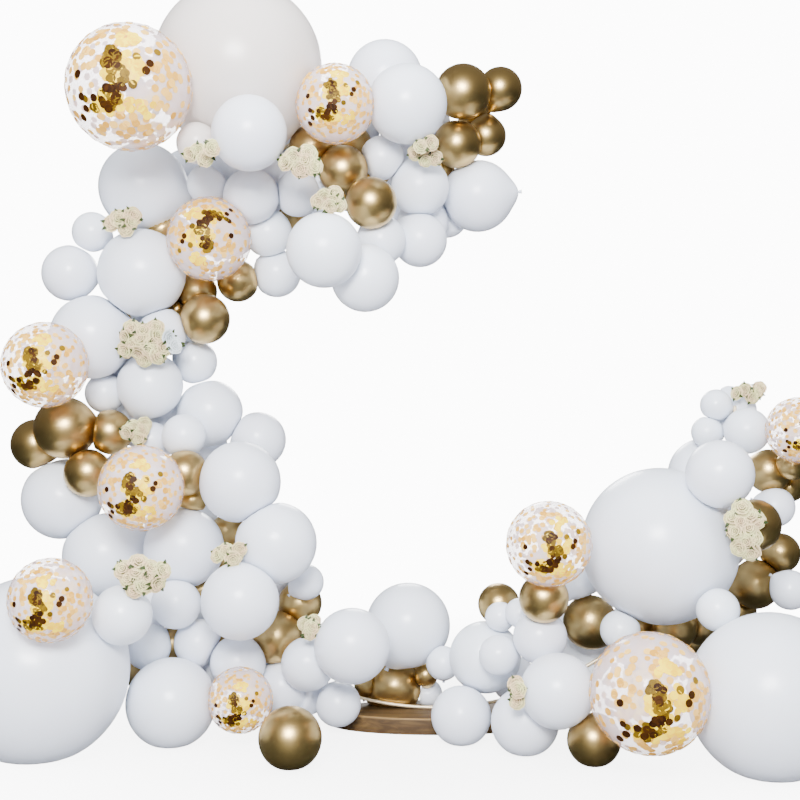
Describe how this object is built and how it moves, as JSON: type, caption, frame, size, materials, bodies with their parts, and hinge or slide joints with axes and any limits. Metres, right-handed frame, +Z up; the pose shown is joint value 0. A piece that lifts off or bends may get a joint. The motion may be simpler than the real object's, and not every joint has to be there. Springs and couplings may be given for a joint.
{
  "type": "balloon garland",
  "caption": "Organic balloon garland in white, gold and clear confetti balloons with foam roses, fixed along an open hoop that stands on an oval board.",
  "frame": {"origin": "on the floor, under the middle of the base board", "axes": "+Z up, the front faces -Y, +X to the viewer's right"},
  "size_m": [2.4864, 0.9775, 2.1683],
  "materials": {
    "white_latex": "semi-gloss pearl white latex",
    "gold_latex": "metallic gold latex",
    "clear_latex": "clear latex with gold paper discs inside",
    "rose_foam": "matte cream foam",
    "hoop_metal": "satin pale gold",
    "board_wood": "brown stained wood"
  },
  "bodies": {
    "root": {"base_board": "board_wood", "confetti_1": "clear_latex", "confetti_10": "clear_latex", "confetti_2": "clear_latex", "confetti_3": "clear_latex", "confetti_4": "clear_latex", "confetti_5": "clear_latex", "confetti_6": "clear_latex", "confetti_7": "clear_latex", "confetti_8": "clear_latex", "confetti_9": "clear_latex", "giant_corner": "white_latex", "giant_left": "white_latex", "giant_right": "white_latex", "giant_top": "white_latex", "gold_bend": "gold_latex", "gold_bend_right": "gold_latex", "gold_bottom": "gold_latex", "gold_flank": "gold_latex", "gold_flank_inner": "gold_latex", "gold_flank_outer": "gold_latex", "gold_floor_left": "gold_latex", "gold_floor_right": "gold_latex", "gold_foot": "gold_latex", "gold_right": "gold_latex", "gold_right_high": "gold_latex", "gold_right_low": "gold_latex", "gold_side": "gold_latex", "gold_top": "gold_latex", "gold_top_end": "gold_latex", "gold_top_low": "gold_latex", "gold_under_giant": "gold_latex", "hoop": "hoop_metal", "rose_bunch_foot": "rose_foam", "rose_bunch_right": "rose_foam", "rose_bunch_shoulder": "rose_foam", "rose_bunch_side": "rose_foam", "rose_bunch_top": "rose_foam", "white_back_left": "white_latex", "white_back_right": "white_latex", "white_bottom": "white_latex", "white_flank": "white_latex", "white_flank_inner": "white_latex", "white_flank_outer": "white_latex", "white_floor": "white_latex", "white_floor_pair": "white_latex", "white_foot": "white_latex", "white_foot_left": "white_latex", "white_right": "white_latex", "white_right_end": "white_latex", "white_shoulder": "white_latex", "white_shoulder_small": "white_latex", "white_side": "white_latex", "white_side_inner": "white_latex", "white_side_outer": "white_latex", "white_top": "white_latex", "white_top_end": "white_latex", "white_top_inner": "white_latex", "white_top_middle": "white_latex", "white_upper": "white_latex"}
  },
  "joints": []
}
